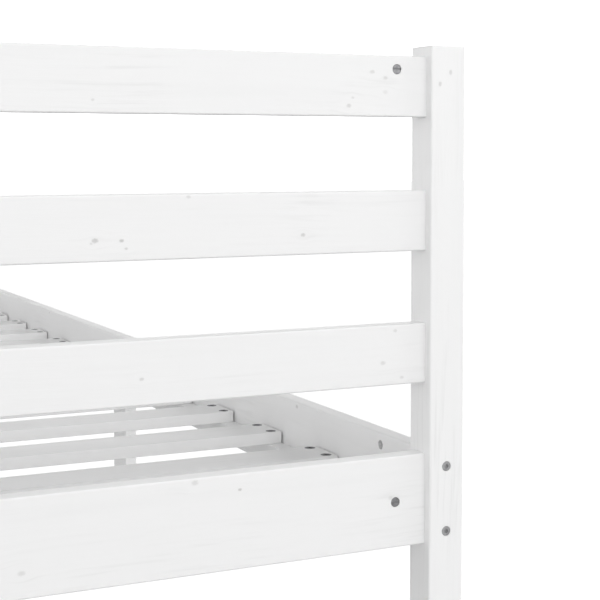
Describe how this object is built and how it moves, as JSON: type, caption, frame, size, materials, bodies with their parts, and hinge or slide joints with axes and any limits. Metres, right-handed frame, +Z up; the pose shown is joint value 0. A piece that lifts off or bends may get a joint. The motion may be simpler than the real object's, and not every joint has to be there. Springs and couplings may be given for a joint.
{
  "type": "bunk bed with ladder",
  "caption": "White painted pine bunk bed: two single slatted beds stacked on pins, with railed ends, a guard rail and a hook-on ladder.",
  "frame": {"origin": "on the floor under the middle of the whole object's box, ladder included", "axes": "+Z up, +Y along the beds' length, +X towards the side without the ladder"},
  "size_m": [1.19, 2.066, 1.633],
  "materials": {
    "painted_pine": "white satin paint over pine, faint knots and grain",
    "dowel_beech": "bare fluted beech",
    "bolt_steel": "zinc plated",
    "screw_steel": "dull zinc plated",
    "hook_steel": "zinc plated strip",
    "glide_plastic": "moulded"
  },
  "bodies": {
    "beds": {"lower_post_wall_near": "painted_pine", "lower_post_wall_far": "painted_pine", "lower_side_board_wall": "painted_pine", "lower_ledger_wall": "painted_pine", "lower_middle_leg_wall": "painted_pine", "lower_post_ladder_near": "painted_pine", "lower_post_ladder_far": "painted_pine", "lower_side_board_ladder": "painted_pine", "lower_ledger_ladder": "painted_pine", "lower_middle_leg_ladder": "painted_pine", "lower_base_board_near": "painted_pine", "lower_end_rail_near_1": "painted_pine", "lower_end_rail_near_2": "painted_pine", "lower_end_rail_near_3": "painted_pine", "lower_base_board_far": "painted_pine", "lower_end_rail_far_1": "painted_pine", "lower_end_rail_far_2": "painted_pine", "lower_end_rail_far_3": "painted_pine", "lower_slats": "painted_pine", "upper_post_wall_near": "painted_pine", "upper_post_wall_far": "painted_pine", "upper_side_board_wall": "painted_pine", "upper_ledger_wall": "painted_pine", "upper_middle_leg_wall": "painted_pine", "upper_post_ladder_near": "painted_pine", "upper_post_ladder_far": "painted_pine", "upper_side_board_ladder": "painted_pine", "upper_ledger_ladder": "painted_pine", "upper_middle_leg_ladder": "painted_pine", "upper_base_board_near": "painted_pine", "upper_end_rail_near_1": "painted_pine", "upper_end_rail_near_2": "painted_pine", "upper_end_rail_near_3": "painted_pine", "upper_base_board_far": "painted_pine", "upper_end_rail_far_1": "painted_pine", "upper_end_rail_far_2": "painted_pine", "upper_end_rail_far_3": "painted_pine", "upper_slats": "painted_pine", "guard_rail_1": "painted_pine", "guard_upright_1": "painted_pine", "guard_rail_2": "painted_pine", "guard_upright_2": "painted_pine", "guard_screws": "screw_steel", "frame_bolts": "bolt_steel", "barrel_nuts": "bolt_steel", "dowels": "dowel_beech", "slat_screws": "screw_steel", "ledger_screws": "screw_steel", "stacking_pins": "bolt_steel", "pin_locking_screws": "screw_steel", "floor_glides": "glide_plastic"},
    "ladder": {"ladder_stile_near": "painted_pine", "ladder_stile_far": "painted_pine", "ladder_tread_1": "painted_pine", "ladder_tread_2": "painted_pine", "ladder_tread_3": "painted_pine", "ladder_tread_4": "painted_pine", "ladder_hooks": "hook_steel", "ladder_screws": "screw_steel", "ladder_hook_screws": "screw_steel"}
  },
  "joints": [
    {"name": "ladder_lift", "type": "slide", "parent": "beds", "child": "ladder", "axis": [0, 0, 1], "range_m": [0, 0.06]}
  ]
}
